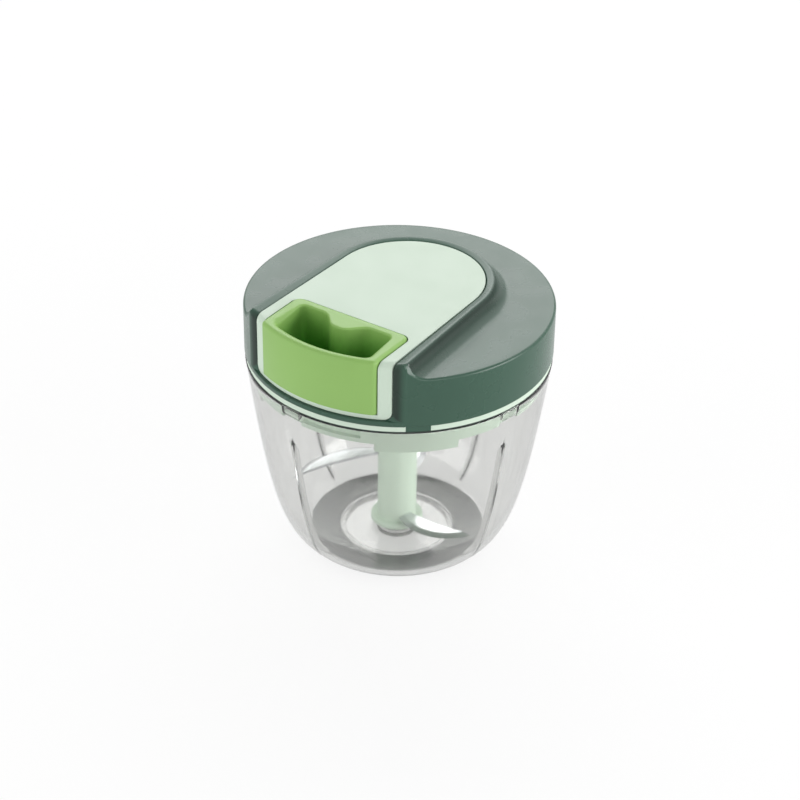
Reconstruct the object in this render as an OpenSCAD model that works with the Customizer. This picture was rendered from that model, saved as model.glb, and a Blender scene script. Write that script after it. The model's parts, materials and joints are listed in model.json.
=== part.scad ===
// Manual pull cord food chopper: clear beaker, blade set on a pivot pin, and a twist-lock
// lid that holds a cord reel with a recoil spring. Millimetres, +Z up, the handle faces -Y.
// The origin is on the axis, on the surface that the foot stands on.

/* [Bowl] */
// Height of the bowl's rim above the table
bowl_h = 90.6; // [84:0.2:100]
// Outer radius of the bowl at its rim
bowl_rim_r = 62.4; // [60:0.2:66]
// Thickness of the bowl's wall and floor
bowl_wall = 2.2; // [1.6:0.1:3]
// Radius of the edge that meets the table
foot_r = 32; // [30:0.5:36]
// Angle at which the outside leaves the table
belly_angle = 34.7; // [30:0.1:40]
// How far the lower part of the outline keeps that angle
belly_pull = 17.7; // [14:0.1:20]
// Angle of the wall at the rim
wall_angle = 83; // [80:0.1:86]
// How far the upper part of the outline keeps that angle
wall_pull = 85.7; // [78:0.1:90]
// Number of ribs inside the bowl, and of its bayonet lugs
rib_count = 4; // [3:1:4]
// Width of a rib
rib_w = 1.5; // [1:0.1:2.5]
// Depth of a rib
rib_d = 2.2; // [1:0.1:3]
// Height of the top of a rib above the table
rib_top = 73.5; // [60:0.5:76]
// Turn of the first rib about the axis
rib_turn = -101; // [-110:1:-90]

/* [Foot] */
// Height of the soft foot ring
foot_h = 3.6; // [3.2:0.1:4.4]
// Inner radius of the foot ring
foot_in_r = 24; // [20:0.5:27]
// Width of the bowl's spigot that holds the foot ring
spigot_w = 2; // [1.4:0.1:3]
// Height of the spigot's end above the table
spigot_z = 1; // [0.6:0.1:1.4]

/* [Pivot] */
// Radius of the steel pivot pin
pin_r = 3; // [2.5:0.1:3.5]
// Height of the pin's top above the table
pin_top = 32; // [28:0.5:40]
// Radius of the boss round the pin
boss_r = 8; // [6.5:0.5:9]
// Height of the boss above the bowl's floor
boss_h = 2.5; // [1.5:0.1:4]
// Depth of the boss below the bowl's floor
boss_drop = 1.6; // [1:0.1:2.2]

/* [Blades] */
// Radius of the blade stem
stem_r = 8.2; // [7.6:0.1:9]
// Radius of the stem's foot
stem_foot_r = 11; // [9.5:0.5:13]
// Thickness of the stem's foot
stem_foot_h = 2; // [1.5:0.1:3]
// Thickness of a blade
blade_t = 1.2; // [0.8:0.1:1.6]
// Width of the ground bevel on a blade
blade_bevel = 2.4; // [1.5:0.1:3]
// Bulge of the cutting edge
blade_bulge = 11; // [8:0.5:13]
// Bulge of the back edge
blade_hollow = 2.5; // [1.5:0.5:4]
// Height of the lower blade above the table
lower_blade_z = 13; // [12:0.5:16]
// Reach of the lower blade from the axis
lower_blade_l = 37; // [32:0.5:39]
// Height of the middle blade above the table
middle_blade_z = 27; // [22:0.5:32]
// Reach of the middle blade from the axis
middle_blade_l = 43.5; // [38:0.5:45]
// Height of the upper blade above the table
upper_blade_z = 41; // [36:0.5:48]
// Reach of the upper blade from the axis
upper_blade_l = 47; // [42:0.5:49]
// Width of the stem's collar
collar_w = 1.2; // [0.8:0.1:1.4]
// Height of the stem's collar
collar_h = 3; // [2:0.1:4]
// Distance across the flats of the stem's hexagon head
hex_flats = 8.6; // [7.6:0.1:9.4]

/* [Lid base] */
// Thickness of the seal
seal_t = 0.6; // [0.4:0.1:1.2]
// Thickness of the lid base's plate, whose edge shows below the cover
plate_t = 2.3; // [1.8:0.1:3]
// Depth of the skirt below the flange
skirt_h = 7.8; // [7.4:0.1:9]
// Thickness of the skirt
skirt_t = 2.6; // [2.4:0.1:3.4]
// Further depth of the skirt's guide tabs
tab_h = 3.6; // [2:0.1:5]
// Angle that a guide tab spans
tab_span = 32; // [20:1:36]
// Turn of the first guide tab about the axis
tab_turn = -49; // [-56:1:-46]
// Angle that a notch in the flange spans
notch_span = 9; // [6:0.5:12]
// Depth of a notch in the flange
notch_d = 1.4; // [0.8:0.1:1.8]
// Turn of the first bayonet lug about the axis
lug_turn = -10; // [-14:1:-6]
// Angle that a bayonet lug spans
lug_span = 8.6; // [6:0.2:10]
// Height of a bayonet lug
lug_h = 3.2; // [2.4:0.1:3.6]
// Reach of a lug into its groove
lug_d = 1.2; // [0.8:0.1:1.4]
// Twist from free to locked
twist = 25; // [20:1:28]

/* [Cover] */
// Height of the cover's flat top above its lower edge
cover_h = 21; // [20:0.1:24]
// Thickness of the cover
cover_t = 2; // [1.6:0.1:2.6]
// Rounding of the cover's top edge
cover_edge = 1.2; // [0.8:0.1:1.6]
// Rise of the frame above the flat top
frame_h = 6.7; // [5:0.1:8]
// Width of the frame round the panel
frame_w = 3.4; // [2.8:0.1:4]
// Outward lean of the frame's straight sides
frame_flare = 2.4; // [1.6:0.1:3]
// Rounding of the frame's front top edge
frame_edge = 3; // [2:0.1:4]
// Rounding of the cover's wall beside the panel's front
cheek_r = 8; // [6:0.5:9]
// Width of the ledge that the panel rests on
ledge_w = 2.2; // [1.5:0.1:3]

/* [Panel] */
// Thickness of the panel
panel_t = 1.8; // [1.4:0.1:2.4]
// Drop of the panel's top below the frame's top
panel_set = 0.5; // [0.2:0.1:1]
// Depth of the panel's front behind the cover's wall
panel_back = 1.4; // [1:0.1:2.4]
// Rounding where the panel folds over the front
panel_edge = 3; // [2:0.1:4]
// Rounding of the front's lower corners
panel_corner = 3; // [1:0.1:4]
// Distance from the axis to the centre of the round end
round_y = 6.3; // [3:0.1:9]
// Width of the panel's front beside the handle
panel_side = 5.2; // [4.8:0.1:6.4]
// Outward lean of the panel's straight sides
panel_flare = 1.1; // [0.5:0.1:1.5]
// Thickness of the dock's walls
dock_t = 1.8; // [1.4:0.1:2.4]
// Height of the dock's floor above the cover's lower edge
dock_rise = 4.1; // [3.4:0.1:5]

/* [Handle] */
// Width of the handle
handle_w = 53.4; // [48:0.2:55]
// Depth of the handle at its middle
handle_l = 30; // [27:0.2:31]
// Depth of the handle's front behind the cover's wall
handle_set = 0.5; // [0.2:0.1:1]
// Rise of the handle above the panel
handle_proud = 1; // [0.4:0.1:2]
// Rounding of the handle's front edges
handle_edge = 1.8; // [1:0.1:2.4]
// Rounding of the handle's upright front corners
front_corner = 2; // [1.5:0.1:3.5]
// Rounding of the handle's upright rear corners
handle_corner = 3.5; // [2:0.1:4.5]
// Rounding of the well's upright corners
well_corner = 2.5; // [1.5:0.1:4]
// Thickness of the well's side walls
well_side = 5.2; // [4:0.1:6]
// Thickness of the well's front wall
well_front = 4.6; // [3:0.1:5.4]
// Thickness of the well's back wall
well_rear = 4.1; // [2.6:0.1:4.6]
// Thickness of the well's floor
well_floor = 3; // [2:0.1:5]
// Reach of the lobe that parts the two fingers
lobe_l = 6.6; // [6:0.1:8]
// Half width of the lobe where it leaves the back wall
lobe_w = 9.5; // [8.5:0.1:11]
// Rounding of the lobe
lobe_round = 6; // [3:0.1:6.5]

/* [Cord] */
// Diameter of the cord
cord_d = 1.8; // [1.4:0.1:2.2]
// Gap between the turns of the winding
cord_gap = 0.5; // [0.45:0.05:0.8]
// Radius of the drum
drum_r = 15; // [12:0.5:17]
// Height of the drum between its flanges
drum_h = 11.6; // [10:0.1:12]
// Thickness of a reel flange
reel_flange_t = 1.2; // [0.8:0.1:1.6]
// Radius of the reel's flanges
reel_r = 21; // [19.5:0.5:23]
// Thickness of the reel's hub round the spindle
hub_t = 3; // [2:0.1:4]
// Radius of the cord's eyelet
eyelet_r = 3; // [2.4:0.1:3.4]
// Thickness of the eyelet's flange
eyelet_flange = 0.8; // [0.6:0.1:1.2]
// Radius of the nipple on the cord's end
nipple_r = 2.2; // [1.8:0.1:2.4]
// Height of the nipple
nipple_h = 4.8; // [4:0.1:6]

/* [Spring] */
// Number of turns of the recoil spring
spring_turns = 7; // [4:1:8]
// Thickness of the spring strip
spring_t = 0.4; // [0.3:0.05:0.5]
// Outer radius of the spring case
case_r = 24; // [22:0.5:25]
// Thickness of the spring case
case_t = 1.4; // [1:0.1:1.6]
// Distance from the axis to the case screws
case_screw_r = 29; // [28.5:0.5:30]

/* [Spindle] */
// Radius of the spindle's socket head
socket_r = 8.6; // [7.6:0.1:9]
// Depth of the socket
socket_h = 8; // [6:0.2:8.4]
// Radius of the spindle's journal
journal_r = 6; // [5.7:0.1:6.4]
// Thickness of the bush
bush_t = 2; // [1.5:0.1:2.4]
// Thickness of the bush's flange
bush_flange_t = 0.8; // [0.6:0.1:1.2]
// Height of the bearing boss above the plate
bearing_h = 2.4; // [1.6:0.1:3]
// Thickness of the thrust washer
washer_t = 0.6; // [0.4:0.1:1]
// Thickness of the reel clip
clip_t = 0.6; // [0.4:0.1:0.8]
// Width of the reel clip outside the arbor
clip_w = 2.2; // [1.6:0.1:3]
// Radius of the spring's arbor
arbor_r = 4.4; // [4:0.1:4.8]
// Radius of the spindle's top pin
top_pin_r = 2.4; // [1.8:0.1:2.8]
// Thickness of the socket's roof
socket_roof = 1; // [0.8:0.1:2]
// Thickness of the plate below the spring
spring_plate_t = 0.5; // [0.4:0.1:0.8]

/* [Fasteners] */
// Distance of the lid screws from the cover's wall
screw_inset = 8.6; // [8:0.1:9.4]
// Angle of the lid screws from the middle of the sides
screw_turn = 39; // [36:0.5:41]
// Radius of a lid screw's thread
screw_r = 1.45; // [1.2:0.05:1.7]
// Radius of a lid screw's head
screw_head_r = 2.8; // [2.5:0.1:3.2]
// Height of a lid screw's head
screw_head_h = 1.8; // [1.4:0.1:2.2]
// Length of a lid screw below its head
screw_l = 14; // [11:0.5:16]
// Radius of the bosses for the lid screws
screw_boss_r = 4.6; // [4:0.1:5]
// Depth of a lid screw's seat below the plate
screw_sink = 1; // [0.6:0.1:1.4]
// Radius of a case screw's thread
case_screw_t = 1.1; // [0.9:0.05:1.2]
// Length of a case screw in its post
case_screw_l = 8; // [6:0.5:9]
// Height of a case screw's head
case_head_h = 1.4; // [1:0.1:1.6]
// Radius of the posts for the case screws
post_r = 3.2; // [2.6:0.1:3.6]
// Thickness of the spring case's ears
ear_t = 2; // [1.6:0.1:2.6]

/* [Clearances] */
// Between flat faces that slide
slide_gap = 0.2; // [0.15:0.05:0.3]
// Between curved faces that pass each other
free_gap = 0.5; // [0.3:0.1:0.6]
// All round a shaft that turns in its bore
run_gap = 0.05; // [0.02:0.01:0.1]
// All round a piece that is pushed into place
seat_gap = 0.1; // [0.05:0.05:0.15]
// All round the panel in the cover's opening
panel_gap = 0.4; // [0.2:0.1:0.6]
// All round the handle in its dock
dock_gap = 0.5; // [0.3:0.1:0.7]

/* [Hidden] */
$fn = 96;
eps = 0.01;
far = 80;

// Control points of the bowl's outline, from the foot to the rim
curve_p0 = [foot_r, 0];
curve_p1 = curve_p0 + belly_pull * [cos(belly_angle), sin(belly_angle)];
curve_p3 = [bowl_rim_r, bowl_h];
curve_p2 = curve_p3 - wall_pull * [cos(wall_angle), sin(wall_angle)];

// Heights of the lid's stack
flange_z = bowl_h + seal_t;
cover_z = flange_z + plate_t;
cover_top = cover_z + cover_h;
frame_top = cover_top + frame_h;
panel_top = frame_top - panel_set;
panel_under = panel_top - panel_t;
handle_top = panel_top + handle_proud;
dock_floor = cover_z + dock_rise;
panel_z = dock_floor - dock_t;
handle_z = dock_floor + slide_gap;

// Radii and widths of the lid
rim_step = 0.2;
cover_r = bowl_rim_r + rim_step;
flange_r = bowl_rim_r - rim_step;
cove_sink = 0.1;
cove_r = 1.08 * frame_h + cove_sink;
cheek_proud = 0.08;
panel_r = cover_r - panel_back;
dock_half = handle_w / 2 + dock_gap;
front_half = handle_w / 2 + panel_side;
front_open = front_half + panel_gap;
front_y = -sqrt(panel_r * panel_r - front_half * front_half);
panel_half = front_half * cos(panel_flare) - (round_y - front_y) * sin(panel_flare);
opening_half = panel_half + panel_gap;
frame_half = opening_half + frame_w;
handle_r = cover_r - handle_set;
handle_y = -(handle_r - handle_l);
dock_y = handle_y + dock_gap;
dock_back = dock_y + dock_t;
dock_corner = handle_corner + dock_gap;

// Spindle and reel
bearing_top = cover_z + bearing_h;
reel_z = bearing_top + washer_t + slide_gap;
drum_z = reel_z + reel_flange_t;
reel_top = drum_z + drum_h + reel_flange_t;
clip_z = reel_top + slide_gap / 2;
spring_plate_z = clip_z + clip_t + slide_gap;
case_roof = panel_under - slide_gap;
spring_z = spring_plate_z + spring_plate_t + slide_gap;
spring_h = case_roof - case_t - slide_gap - spring_z;
bush_z = flange_z - bush_flange_t / 2;
socket_top = bush_z - bush_flange_t - slide_gap;
socket_z = socket_top - socket_h - socket_roof;
hex_r = hex_flats / sqrt(3);
socket_hex_r = (hex_flats + 2 * slide_gap) / sqrt(3);
reel_hex_r = 0.88 * journal_r;
arbor_top = case_roof - case_t - slide_gap;
case_in_r = case_r - case_t;

// Cord
wind_lift = 0.15;
wind_r = drum_r + cord_d / 2 + wind_lift;
wind_pitch = cord_d + cord_gap;
wind_margin = cord_d / 2 + cord_gap / 2;
wind_turns = (drum_h - 2 * wind_margin) / wind_pitch;
cord_z = drum_z + drum_h - wind_margin;
bend_lead = 2;
bend_y = dock_back + bend_lead;
lead_turn = acos(wind_r / -bend_y) - 90;
split_y = dock_y - dock_gap / 2;
ring_steps = 24;
cord_sides = 6;

// Foot, pivot and blade stem
pin_z = foot_h + 1 + run_gap;
boss_top = foot_h + bowl_wall + boss_h;
stem_z = boss_top + slide_gap;
stem_top = socket_z + socket_h - 2 * slide_gap;
stem_neck = socket_z - 2;
tang_r = pin_r + 1.4;

// Bayonet, bearing and fasteners of the lid base
skirt_z = flange_z - skirt_h;
tab_z = skirt_z - tab_h;
plate_mid = flange_z + plate_t / 2;
key_play = asin(seat_gap / flange_r);
seal_play = 0.3;
lug_z = flange_z - skirt_h / 2 - lug_h / 2;
lug_play = 0.6;
groove_r = bowl_in_r(lug_z) - 2 * free_gap - lug_d;
shroud_r = socket_r + 2 * free_gap;
bearing_r = shroud_r + 2;
bush_r = journal_r + run_gap + bush_t;
bush_flange = 1.2;
ear_z = spring_plate_z + spring_plate_t;
screw_seat = flange_z - screw_sink;
screw_end = screw_seat + screw_l;
clip_groove_r = 0.8 * arbor_r;
reel_hub_r = reel_hex_r + hub_t;
nipple_y = handle_y - well_rear - nipple_r;

// Outside of the bowl as a cubic curve, and its direction
function curve(t) = pow(1 - t, 3) * curve_p0 + 3 * pow(1 - t, 2) * t * curve_p1
    + 3 * (1 - t) * t * t * curve_p2 + pow(t, 3) * curve_p3;
function curve_way(t) = pow(1 - t, 2) * (curve_p1 - curve_p0)
    + 2 * (1 - t) * t * (curve_p2 - curve_p1) + t * t * (curve_p3 - curve_p2);
function unit(v) = v / norm(v);

// The curve moved inwards by d, and the place along it at height z
function inward(t, d) = let (w = unit(curve_way(t))) curve(t) + d * [-w.y, w.x];
function curve_at(z, d, lo = 0, hi = 1, n = 30) = let (mid = (lo + hi) / 2)
    n == 0 ? mid : inward(mid, d).y < z ? curve_at(z, d, mid, hi, n - 1) : curve_at(z, d, lo, mid, n - 1);
function curve_points(z0, z1, d, n) = let (t0 = curve_at(z0, d), t1 = curve_at(z1, d))
    [for (i = [0:n]) inward(t0 + (t1 - t0) * i / n, d)];
function bowl_in_r(z) = inward(curve_at(z, bowl_wall), bowl_wall).x;
function skirt_r(z) = bowl_in_r(z) - free_gap;
function reverse(list) = [for (i = [len(list) - 1:-1:0]) list[i]];

// A closed outline of corners [x, y, radius] with each corner rounded
function corner(a, b, c, r) = let (
    u = unit(a - b),
    v = unit(c - b),
    half = acos(u * v) / 2,
    centre = b + unit(u + v) * r / sin(half),
    p = b + u * r / tan(half) - centre,
    q = b + v * r / tan(half) - centre,
    start = atan2(p.y, p.x),
    turn = (atan2(q.y, q.x) - start + 540) % 360 - 180)
    r == 0 ? [b] : [for (i = [0:8]) centre + r * [cos(start + turn * i / 8), sin(start + turn * i / 8)]];
function rounded(list) = let (n = len(list), p = [for (c = list) [c.x, c.y]])
    [for (i = [0:n - 1]) each corner(p[(i + n - 1) % n], p[i], p[(i + 1) % n], list[i].z)];

// A round tube along points, with the ring planes across the way
function ring(p, way, r, n) = let (side = unit(cross(way, [0, 0, 1])), up = cross(side, unit(way)))
    [for (k = [0:n - 1]) p + r * (cos(360 * k / n) * side + sin(360 * k / n) * up)];
module tube(points, r, n) {
    last = len(points) - 1;
    ways = [for (i = [0:last]) points[min(i + 1, last)] - points[max(i - 1, 0)]];
    rings = [for (i = [0:last]) each ring(points[i], ways[i], r, n)];
    sides = [for (i = [0:last - 1], k = [0:n - 1]) let (a = i * n + k, b = i * n + (k + 1) % n)
        each [[a, b, b + n], [a, b + n, a + n]]];
    caps = [for (k = [1:n - 2]) each [[0, k + 1, k], [last * n, last * n + k, last * n + k + 1]]];
    polyhedron(rings, concat(sides, caps));
}

// A disc whose upper edge is rounded
module disc_section(r, h, edge) {
    difference() {
        square([r, h]);
        difference() {
            translate([r - edge, h - edge]) square(edge + eps);
            translate([r - edge, h - edge]) circle(edge);
        }
    }
}
module disc(r, z0, z1, edge) {
    translate([0, 0, z0]) rotate_extrude() disc_section(r, z1 - z0, edge);
}
module pipe(r_in, r_out, z0, z1) {
    translate([0, 0, z0]) difference() {
        cylinder(h = z1 - z0, r = r_out);
        translate([0, 0, -1]) cylinder(h = z1 - z0 + 2, r = r_in);
    }
}
module rod(r, z0, z1) {
    translate([0, 0, z0]) cylinder(h = z1 - z0, r = r);
}

// The ring section of a revolve between two angles, and a pattern round the axis
module sector(from, span) {
    rotate([0, 0, from]) rotate_extrude(angle = span) children();
}
module round_pattern(count) {
    for (i = [0:count - 1]) rotate([0, 0, 360 * i / count]) children();
}

// Two mirrored halves that lean outwards from the centre of the round end to the front
module flared() {
    translate([0, round_y, 0]) for (side = [0, 1]) mirror([side, 0, 0]) rotate([0, 0, panel_flare]) children();
}

// Plan of the panel: nearly straight sides that end in a half circle
module tombstone(half) {
    end = half * [cos(panel_flare), sin(panel_flare)];
    front = end + far * [sin(panel_flare), -cos(panel_flare)];
    translate([0, round_y]) {
        intersection() {
            circle(half);
            translate([-far, end.y]) square(2 * far);
        }
        polygon([[-end.x, end.y], [-front.x, front.y], front, end]);
    }
}

// Bowl
module bowl_shell() {
    outside = curve_points(foot_h, bowl_h, 0, 24);
    inside = curve_points(foot_h + bowl_wall, bowl_h, bowl_wall, 24);
    rotate_extrude() polygon(concat([[0, foot_h]], outside, reverse(inside), [[0, foot_h + bowl_wall]]));
}
module bowl_rib() {
    outer = curve_points(foot_h + bowl_wall + rib_d, rib_top, bowl_wall / 2, 16);
    inner = curve_points(foot_h + bowl_wall + rib_d, rib_top - rib_d, bowl_wall + rib_d, 16);
    rotate([90, 0, 0]) linear_extrude(rib_w, center = true) polygon(concat(outer, reverse(inner)));
}
module bowl_lug() {
    sector(lug_turn - lug_span / 2, lug_span) translate([bowl_in_r(lug_z) - free_gap - lug_d, lug_z])
        square([free_gap + lug_d + bowl_wall / 2, lug_h]);
}
module bowl() {
    color([0.78, 0.79, 0.78, 0.4]) difference() {
        union() {
            bowl_shell();
            pipe(foot_in_r - spigot_w, foot_in_r, spigot_z, foot_h + bowl_wall / 2);
            rotate([0, 0, rib_turn]) round_pattern(rib_count) bowl_rib();
            round_pattern(rib_count) bowl_lug();
            rod(boss_r, foot_h - boss_drop, boss_top);
        }
        rod(pin_r + run_gap, pin_z - run_gap, boss_top + 1);
    }
}
module foot_ring() {
    color([0.29, 0.31, 0.3]) rotate_extrude()
        polygon(concat([[foot_in_r + eps, 0]], curve_points(0, foot_h, 0, 8), [[foot_in_r + eps, foot_h]]));
}
module pivot_pin() {
    color([0.75, 0.76, 0.78]) disc(pin_r, pin_z, pin_top, pin_r / 3);
}

// Blade set
function arc_r(chord, bulge) = (chord * chord / 4 + bulge * bulge) / (2 * bulge);
module blade(reach, z, turn) {
    edge_r = arc_r(reach, blade_bulge);
    back_r = arc_r(reach, blade_hollow);
    rotate([0, 0, turn]) difference() {
        translate([reach / 2, edge_r - blade_bulge, z])
            cylinder(h = blade_t, r1 = edge_r, r2 = edge_r - blade_bevel);
        translate([reach / 2, back_r - blade_hollow, z - 1]) cylinder(h = blade_t + 2, r = back_r);
        rod(tang_r, z - 1, z + blade_t + 1);
    }
}
module lower_blade() {
    color([0.8, 0.81, 0.82]) blade(lower_blade_l, lower_blade_z, 0);
}
module middle_blade() {
    color([0.8, 0.81, 0.82]) blade(middle_blade_l, middle_blade_z, 120);
}
module upper_blade() {
    color([0.8, 0.81, 0.82]) blade(upper_blade_l, upper_blade_z, 240);
}
module blade_stem() {
    color([0.83, 0.89, 0.85]) difference() {
        union() {
            disc(stem_foot_r, stem_z, stem_z + stem_foot_h, stem_foot_h / 2);
            rod(stem_r, stem_z, stem_neck);
            disc(stem_r + collar_w, stem_neck - 2 * collar_h, stem_neck - collar_h, collar_h / 3);
            translate([0, 0, stem_neck - 1]) cylinder(h = stem_top - stem_neck + 1, r = hex_r, $fn = 6);
        }
        rod(pin_r + 2 * run_gap, stem_z - 1, pin_top + slide_gap);
        lower_blade();
        middle_blade();
        upper_blade();
    }
}

// Underside of the lid
module lid_seal() {
    color([0.16, 0.22, 0.19]) pipe(skirt_r(bowl_h) + seal_play, flange_r, bowl_h, flange_z);
}
module skirt() {
    foot = skirt_r(tab_z);
    head = skirt_r(bowl_h);
    difference() {
        rotate_extrude() polygon([[foot - skirt_t, tab_z], [foot, tab_z], [head, bowl_h], [head, plate_mid],
            [head - skirt_t, plate_mid]]);
        round_pattern(rib_count) sector(tab_turn + tab_span / 2, 360 / rib_count - tab_span)
            translate([foot - 2 * skirt_t, tab_z - 1]) square([far, tab_h + 1]);
    }
}
module bayonet_groove() {
    from = lug_turn - lug_span / 2 - lug_play;
    entry = lug_span + 2 * lug_play;
    sector(from, entry) translate([groove_r, tab_z - 1]) square([far, lug_z + lug_h / 2 - tab_z + 1]);
    sector(from, entry + twist) translate([groove_r, lug_z - slide_gap]) square([far, lug_h + 2 * slide_gap]);
}
module lid_screw_places() {
    for (side = [0, 180], turn = [-screw_turn, screw_turn]) rotate([0, 0, side + turn])
        translate([cover_r - screw_inset, 0, 0]) children();
}
module case_screw_places() {
    rotate([0, 0, 90]) round_pattern(3) translate([case_screw_r, 0, 0]) children();
}
module lid_base() {
    color([0.83, 0.9, 0.85]) difference() {
        union() {
            rod(flange_r, flange_z, cover_z);
            skirt();
            rod(bearing_r, socket_z - slide_gap, bearing_top);
            case_screw_places() rod(post_r, plate_mid, ear_z);
            lid_screw_places() rod(screw_boss_r, screw_seat - screw_head_h - slide_gap, plate_mid);
        }
        round_pattern(rib_count) bayonet_groove();
        round_pattern(rib_count) sector(tab_turn - notch_span / 2, notch_span)
            translate([flange_r - notch_d, flange_z - 1]) square([far, plate_t + 2]);
        rod(shroud_r, socket_z - 1, bush_z);
        rod(bush_r, bush_z - 1, bearing_top + 1);
        case_screw_places() rod(case_screw_t + run_gap, ear_z - case_screw_l - free_gap, ear_z + 1);
        lid_screw_places() rod(screw_r + seat_gap, screw_seat - 1, cover_z + 1);
        lid_screw_places() rod(screw_head_r + seat_gap, screw_seat - far, screw_seat);
    }
}
module screw(thread_r, head_r, head_h, length) {
    slot_w = 0.25 * head_r;
    difference() {
        union() {
            rod(head_r, 0, head_h);
            rod(thread_r, -length, head_h / 4);
        }
        for (turn = [0, 90]) rotate([0, 0, turn]) translate([-0.6 * head_r, -slot_w / 2, head_h / 2])
            cube([1.2 * head_r, slot_w, head_h]);
    }
}
module lid_screws() {
    color([0.7, 0.71, 0.73]) lid_screw_places() translate([0, 0, screw_seat]) mirror([0, 0, 1])
        screw(screw_r, screw_head_r, screw_head_h, screw_end - screw_seat);
}

// Cover with the raised frame
module frame_section() {
    root = cover_top - cover_edge - cover_t;
    inner = opening_half / 2;
    difference() {
        translate([inner, root]) square([frame_half + cove_r - inner, frame_top - root]);
        translate([frame_half + cove_r, cover_top + cove_r - cove_sink]) circle(cove_r);
    }
}
module frame() {
    intersection() {
        disc(cover_r, cover_z, frame_top, frame_edge);
        translate([0, round_y, 0]) union() {
            sector(frame_flare, 180 - 2 * frame_flare) frame_section();
            for (side = [0, 1]) mirror([side, 0, 0]) rotate([0, 0, frame_flare]) rotate([90, 0, 0])
                linear_extrude(far) frame_section();
        }
    }
}
module half_outline(half, z0, corner_r) {
    translate([0, handle_y - round_y, 0]) rotate([90, 0, 0]) linear_extrude(far) polygon(rounded([
        [-half / 2, z0, 0], [half, z0, corner_r], [half, frame_top + 1, 0], [-half / 2, frame_top + 1, 0]]));
}
module front_outline(half, z0) {
    flared() half_outline(half, z0, panel_corner);
}

// What is taken off the wall where it rolls in to the panel's front
module cheek() {
    reach = cover_r - cheek_r + cheek_proud;
    turn = asin(front_open / panel_r)
        + acos((panel_r * panel_r + reach * reach - cheek_r * cheek_r) / (2 * panel_r * reach));
    centre = reach * [sin(turn), -cos(turn)];
    side = centre.x * cover_r / reach;
    intersection() {
        translate([0, 0, cover_z]) linear_extrude(far) difference() {
            translate([front_open - 1, -far]) square([side - front_open + 1, far + centre.y]);
            translate(centre) circle(cheek_r);
        }
        half_outline(side, panel_z - panel_gap, panel_corner + side - front_open);
    }
}
module lid_cover() {
    color([0.3, 0.4, 0.35]) difference() {
        union() {
            difference() {
                union() {
                    disc(cover_r, cover_z, cover_top, cover_edge);
                    frame();
                }
                rod(cover_r - cover_t, cover_z - 1, cover_top - cover_t);
                translate([0, 0, cover_z]) linear_extrude(far) intersection() {
                    tombstone(opening_half);
                    circle(panel_r - panel_t);
                }
            }
            lid_screw_places() rod(screw_boss_r, cover_z, cover_top - cover_t / 2);
            round_pattern(rib_count) sector(tab_turn - notch_span / 2 + key_play, notch_span - 2 * key_play)
                translate([flange_r - notch_d + seat_gap, flange_z + seat_gap])
                square([notch_d - seat_gap, plate_t + cover_t / 2]);
            translate([0, 0, panel_under - cover_t]) linear_extrude(cover_t) difference() {
                tombstone(opening_half + frame_w / 2);
                tombstone(opening_half - ledge_w);
                translate([-far, -far]) square([2 * far, far + dock_back + free_gap]);
            }
        }
        front_outline(opening_half, panel_z - panel_gap);
        for (side = [0, 1]) mirror([side, 0, 0]) cheek();
        lid_screw_places() rod(screw_r + run_gap, cover_z - 1, screw_end + slide_gap);
    }
}

// Panel with the dock for the handle
module top_panel() {
    color([0.84, 0.91, 0.86]) difference() {
        intersection() {
            disc(panel_r, panel_z, panel_top, panel_edge);
            union() {
                translate([0, 0, panel_under]) linear_extrude(panel_t) tombstone(panel_half);
                difference() {
                    front_outline(panel_half, panel_z);
                    rod(panel_r - panel_t, panel_z - 1, panel_under);
                }
                translate([-dock_half - dock_t, -far, panel_z])
                    cube([2 * (dock_half + dock_t), far + dock_back, panel_top - panel_z]);
            }
        }
        translate([0, 0, dock_floor]) linear_extrude(far) polygon(rounded([[-dock_half, -far, 0],
            [dock_half, -far, 0], [dock_half, dock_y, dock_corner], [-dock_half, dock_y, dock_corner]]));
        translate([0, 0, cord_z]) rotate([90, 0, 0]) cylinder(h = far, r = eyelet_r);
    }
}
module cord_eyelet() {
    color([0.93, 0.93, 0.9]) translate([0, dock_y, cord_z]) rotate([-90, 0, 0]) difference() {
        union() {
            rod(eyelet_r, 0, dock_t + eyelet_flange / 2);
            disc(1.5 * eyelet_r, dock_t, dock_t + eyelet_flange, eyelet_flange / 2);
        }
        rod(cord_d / 2 + free_gap, -1, dock_t + 2 * eyelet_flange);
    }
}

// Spindle and reel
module spindle_bush() {
    color([0.93, 0.93, 0.9]) difference() {
        union() {
            rod(bush_r, bush_z - bush_flange_t / 2, bearing_top);
            rod(bush_r + bush_flange, bush_z - bush_flange_t, bush_z);
        }
        rod(journal_r + run_gap, bush_z - bush_flange_t - 1, bearing_top + 1);
    }
}
module drive_spindle() {
    color([0.9, 0.9, 0.87]) difference() {
        union() {
            rod(socket_r, socket_z, socket_top);
            rod(journal_r, socket_top - socket_roof / 2, reel_z);
            translate([0, 0, reel_z - 1]) cylinder(h = reel_top - reel_z + 1, r = reel_hex_r, $fn = 6);
            rod(clip_groove_r, reel_top - 1, spring_plate_z);
            rod(arbor_r, spring_plate_z - slide_gap, arbor_top);
            rod(top_pin_r, arbor_top - 1, case_roof - slide_gap);
        }
        translate([0, 0, socket_z - 1]) cylinder(h = socket_h + 1, r = socket_hex_r, $fn = 6);
        translate([0, -spring_t, spring_z - slide_gap]) cube([far, 2 * spring_t, spring_h + 2 * slide_gap]);
    }
}
module thrust_washer() {
    color([0.75, 0.76, 0.78]) pipe(journal_r + slide_gap, bearing_r - 1, bearing_top, bearing_top + washer_t);
}
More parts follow.
